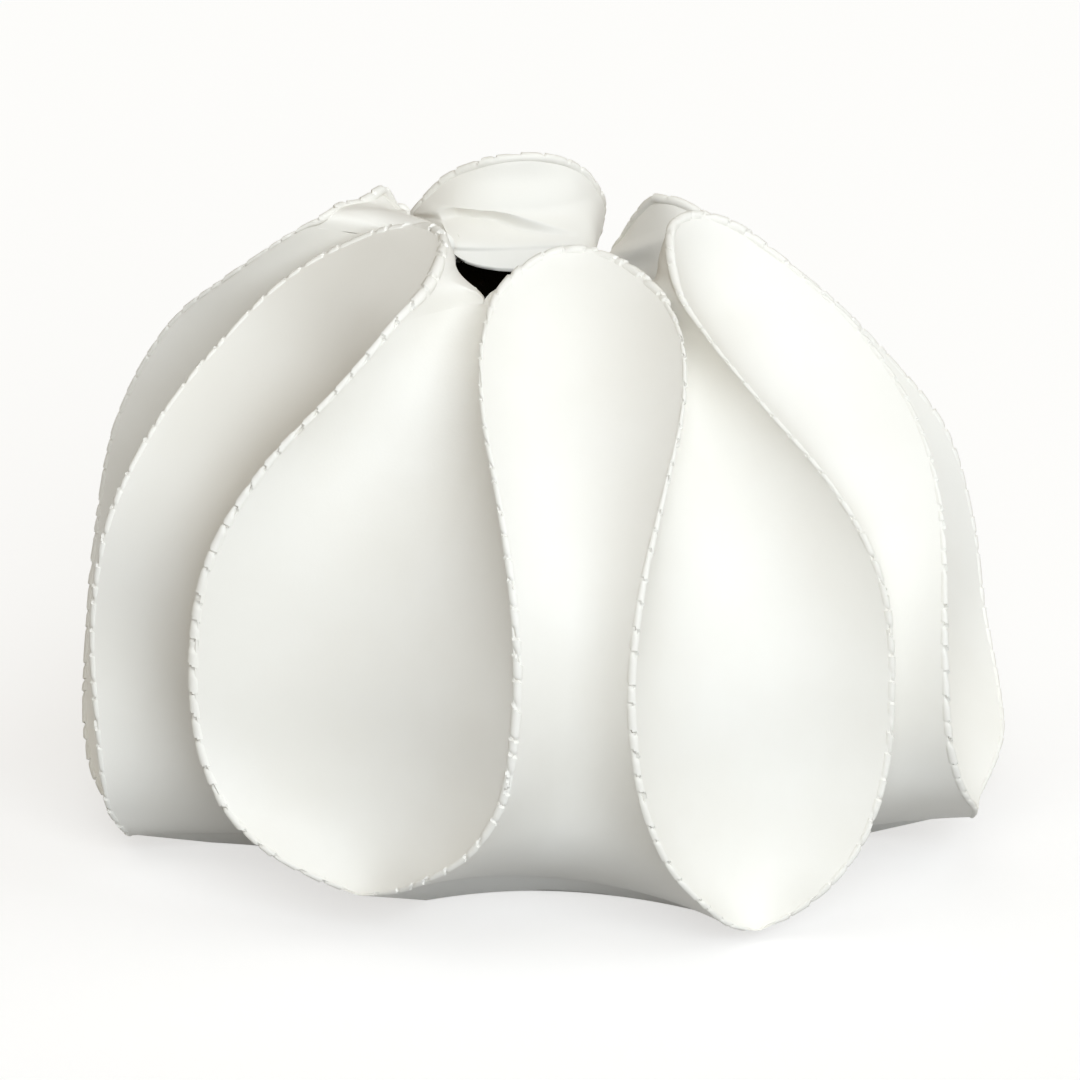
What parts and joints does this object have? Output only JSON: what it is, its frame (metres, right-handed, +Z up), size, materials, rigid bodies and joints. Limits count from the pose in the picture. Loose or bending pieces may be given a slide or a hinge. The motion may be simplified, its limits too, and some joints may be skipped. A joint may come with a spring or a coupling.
{
  "type": "pillow vase",
  "caption": "Low domed porcelain vase with soft pillow-like lobes, teardrop hollows between them, a nicked winding seam and an open mouth for cut flowers.",
  "frame": {"origin": "middle of the foot, on the surface that the vase stands on", "axes": "+Z up, -Y towards the front lobe, +X to the right seen from the front"},
  "size_m": [0.2468, 0.247, 0.1705],
  "materials": {
    "porcelain": "matt unglazed porcelain, warm white",
    "inner_glaze": "dark brown glaze on the inside faces"
  },
  "bodies": {
    "root": {"base_slab": "porcelain", "channel_panel_1": "porcelain", "channel_panel_2": "porcelain", "channel_panel_3": "porcelain", "channel_panel_4": "porcelain", "channel_panel_5": "porcelain", "channel_panel_6": "porcelain", "petal_1": "porcelain", "petal_2": "porcelain", "petal_3": "porcelain", "petal_4": "porcelain", "petal_5": "porcelain", "petal_6": "porcelain", "rim_cap_1": "porcelain", "rim_cap_2": "porcelain", "rim_cap_3": "porcelain", "rim_cap_4": "porcelain", "rim_cap_5": "porcelain", "rim_cap_6": "porcelain"}
  },
  "joints": []
}
